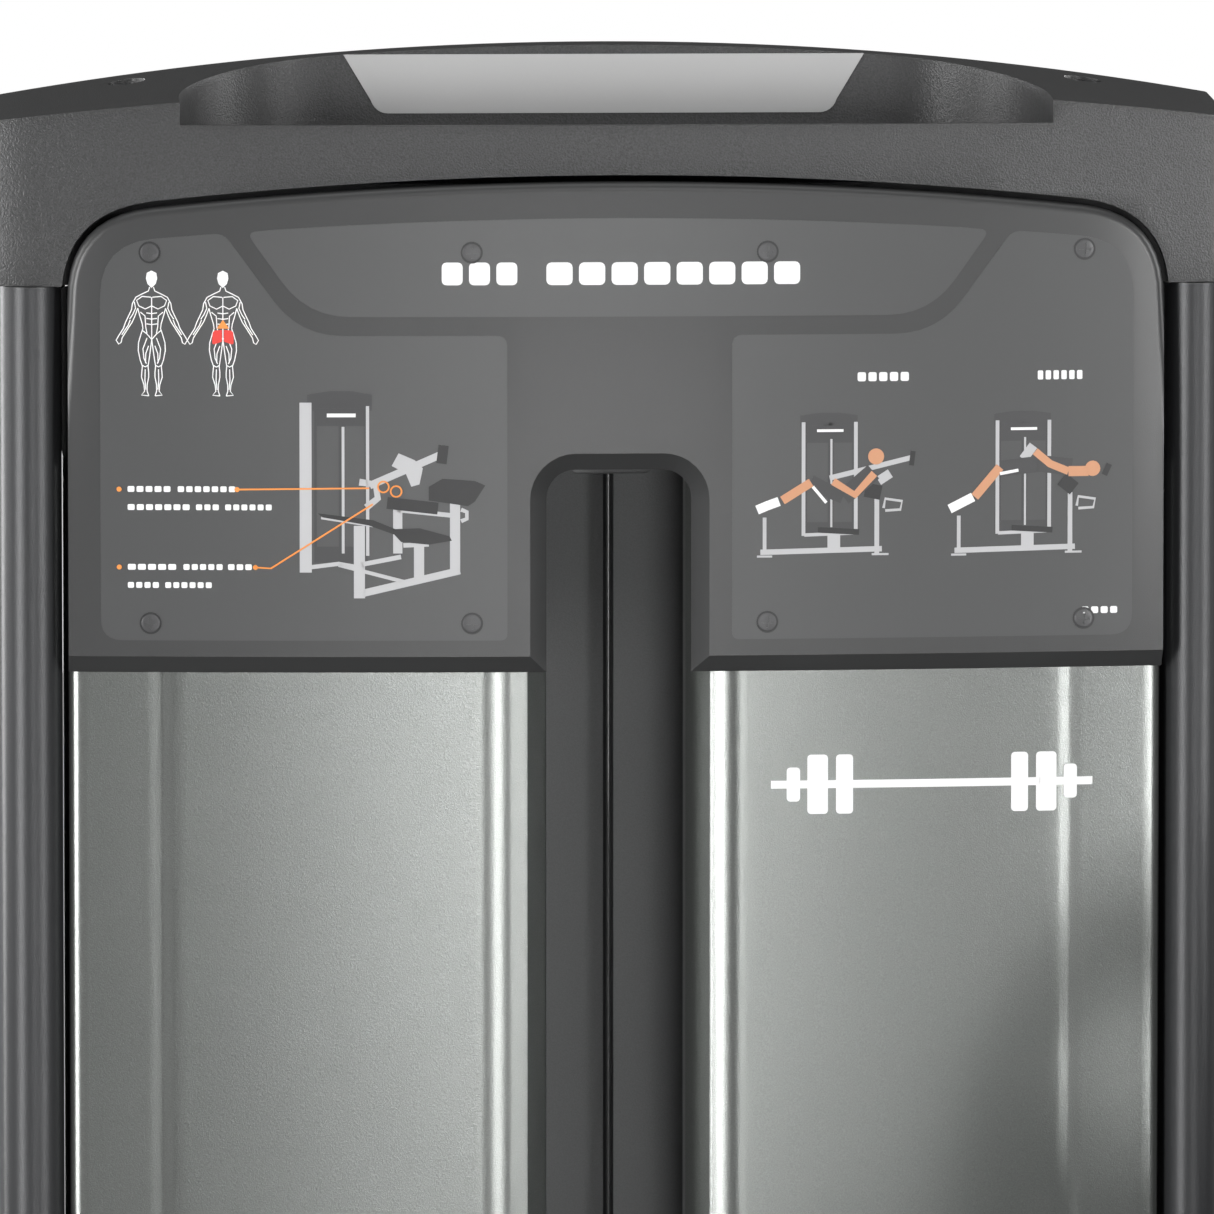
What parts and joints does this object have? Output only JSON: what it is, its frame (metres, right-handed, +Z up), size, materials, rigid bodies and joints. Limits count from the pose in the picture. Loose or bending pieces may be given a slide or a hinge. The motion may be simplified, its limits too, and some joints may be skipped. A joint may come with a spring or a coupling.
{
  "type": "hip thrust machine",
  "caption": "Hip thrust gym machine: weight stack tower with head cap, instruction panel and shields beside a low bench with foot plate, seat, bolster and a counterweighted roller arm.",
  "frame": {"origin": "on the floor, below the middle of the machine's bounding box", "axes": "+X along the bench from the foot plate to the counterweight, +Y from the bench to the tower, +Z up; the tower's front faces -Y"},
  "size_m": [1.7808, 1.125, 1.508],
  "materials": {
    "frame_paint": "satin textured charcoal powder coat",
    "cap": "fine sandy texture",
    "placard": "satin printed plastic",
    "shield": "silver grey metallic with a fine sparkle",
    "weights": "black powder coat",
    "chrome": "polished",
    "orange": "semi-gloss",
    "cable": "nylon coated wire rope",
    "pulley": "glass filled nylon",
    "upholstery": "black vinyl upholstery",
    "rubber": "matte ribbed",
    "foot_mat": "steel plate with a ribbed rubber mat",
    "tray": "satin"
  },
  "bodies": {
    "frame": {"tower_base": "frame_paint", "left_upright": "frame_paint", "right_upright": "frame_paint", "top_beam": "frame_paint", "head_cap": "cap", "instruction_panel": "placard", "left_shield": "shield", "right_shield": "shield", "rear_shield": "frame_paint", "stack_buffer": "rubber", "left_guide_rod": "chrome", "right_guide_rod": "chrome", "lower_plates": "weights", "resting_plate_1": "weights", "resting_plate_2": "weights", "top_inner_bracket": "frame_paint", "top_outer_bracket": "frame_paint", "base_corner_bracket": "frame_paint", "turning_bracket": "frame_paint", "riser_bracket": "frame_paint", "lift_cable": "cable", "long_cable": "cable", "spine_beam": "frame_paint", "main_rail": "frame_paint", "rear_rail": "frame_paint", "foot_post": "frame_paint", "seat_post": "frame_paint", "head_post": "frame_paint", "pivot_post": "frame_paint", "crossbar": "frame_paint", "tower_brace": "frame_paint", "accessory_tray": "tray", "foot_plate": "foot_mat", "seat_pad": "upholstery"},
    "stack": {"top_weight": "weights", "lifted_plate_1": "weights", "lifted_plate_2": "weights", "selector_rod": "chrome"},
    "selector_pin": {"selector_pin": "orange"},
    "top_inner_pulley": {"top_inner_pulley": "pulley"},
    "top_outer_pulley": {"top_outer_pulley": "pulley"},
    "base_corner_pulley": {"base_corner_pulley": "pulley"},
    "turning_pulley": {"turning_pulley": "pulley"},
    "riser_pulley": {"riser_pulley": "pulley"},
    "cam": {"cam": "frame_paint", "cam_cable": "cable", "index_plate": "frame_paint", "pivot_shaft": "chrome"},
    "press_arm": {"press_arm": "frame_paint", "counterweight": "weights"},
    "start_knob": {"start_knob": "orange"},
    "fold_knob": {"fold_knob": "orange"},
    "roller_fork": {"roller_link": "frame_paint", "roller_shaft": "chrome", "near_grip": "rubber", "far_grip": "rubber"},
    "roller_pad": {"roller_pad": "upholstery"},
    "back_rest": {"back_stem": "frame_paint", "back_pad": "upholstery"},
    "back_knob": {"back_knob": "orange"}
  },
  "joints": [
    {"name": "arm_pivot", "type": "hinge", "parent": "frame", "child": "cam", "pos_m": [0.49129, 0.1325, 0.841], "axis": [0, 1, 0], "range_deg": [0, 38]},
    {"name": "stack_lift", "type": "slide", "parent": "frame", "child": "stack", "axis": [0, 0, 1], "range_m": [0, 0.1335], "deforming": ["lift_cable"]},
    {"name": "top_inner_pulley_spin", "type": "hinge", "parent": "frame", "child": "top_inner_pulley", "pos_m": [-0.0107, 0.4875, 1.385], "axis": [0, 1, 0], "range_deg": [0, 201]},
    {"name": "top_outer_pulley_spin", "type": "hinge", "parent": "frame", "child": "top_outer_pulley", "pos_m": [0.0933, 0.4875, 1.385], "axis": [0, 1, 0], "range_deg": [0, 201]},
    {"name": "base_corner_pulley_spin", "type": "hinge", "parent": "frame", "child": "base_corner_pulley", "pos_m": [0.13129, 0.4495, 0.1], "axis": [-1, 0, 0], "range_deg": [0, 201]},
    {"name": "turning_pulley_spin", "type": "hinge", "parent": "frame", "child": "turning_pulley", "pos_m": [0.1693, 0.2105, 0.062], "axis": [0, 0, 1], "range_deg": [0, 201]},
    {"name": "riser_pulley_spin", "type": "hinge", "parent": "frame", "child": "riser_pulley", "pos_m": [0.25329, 0.1725, 0.1], "axis": [0, -1, 0], "range_deg": [0, 201]},
    {"name": "selector_pin_pull", "type": "slide", "parent": "stack", "child": "selector_pin", "axis": [0, -1, 0], "range_m": [0, 0.06]},
    {"name": "start_adjust", "type": "hinge", "parent": "cam", "child": "press_arm", "pos_m": [0.49129, 0.1325, 0.841], "axis": [0, 1, 0], "range_deg": [0, 24]},
    {"name": "start_knob_turn", "type": "hinge", "parent": "press_arm", "child": "start_knob", "pos_m": [0.38411, 0.0575, 0.81625], "axis": [0, 1, 0], "range_deg": [0, 120]},
    {"name": "roller_fold", "type": "hinge", "parent": "press_arm", "child": "roller_fork", "pos_m": [-0.04948, 0.1325, 0.71615], "axis": [0, 1, 0], "range_deg": [0, 100]},
    {"name": "fold_knob_turn", "type": "hinge", "parent": "press_arm", "child": "fold_knob", "pos_m": [-0.04948, 0.1325, 0.71615], "axis": [0, 1, 0], "range_deg": [0, 120]},
    {"name": "roller_spin", "type": "hinge", "parent": "roller_fork", "child": "roller_pad", "pos_m": [-0.04948, -0.2125, 0.62015], "axis": [0, 1, 0], "continuous": true},
    {"name": "back_height", "type": "slide", "parent": "frame", "child": "back_rest", "axis": [0, 0, 1], "range_m": [0, 0.08]},
    {"name": "back_knob_turn", "type": "hinge", "parent": "frame", "child": "back_knob", "pos_m": [0.49129, -0.2573, 0.43], "axis": [0, 1, 0], "range_deg": [0, 120]}
  ],
  "couplings": [
    {"joint": "stack_lift", "follows": "arm_pivot", "m_per_rad": 0.2},
    {"joint": "top_inner_pulley_spin", "follows": "arm_pivot", "ratio": 5.2632},
    {"joint": "top_outer_pulley_spin", "follows": "arm_pivot", "ratio": 5.2632},
    {"joint": "base_corner_pulley_spin", "follows": "arm_pivot", "ratio": 5.2632},
    {"joint": "turning_pulley_spin", "follows": "arm_pivot", "ratio": 5.2632},
    {"joint": "riser_pulley_spin", "follows": "arm_pivot", "ratio": 5.2632}
  ]
}
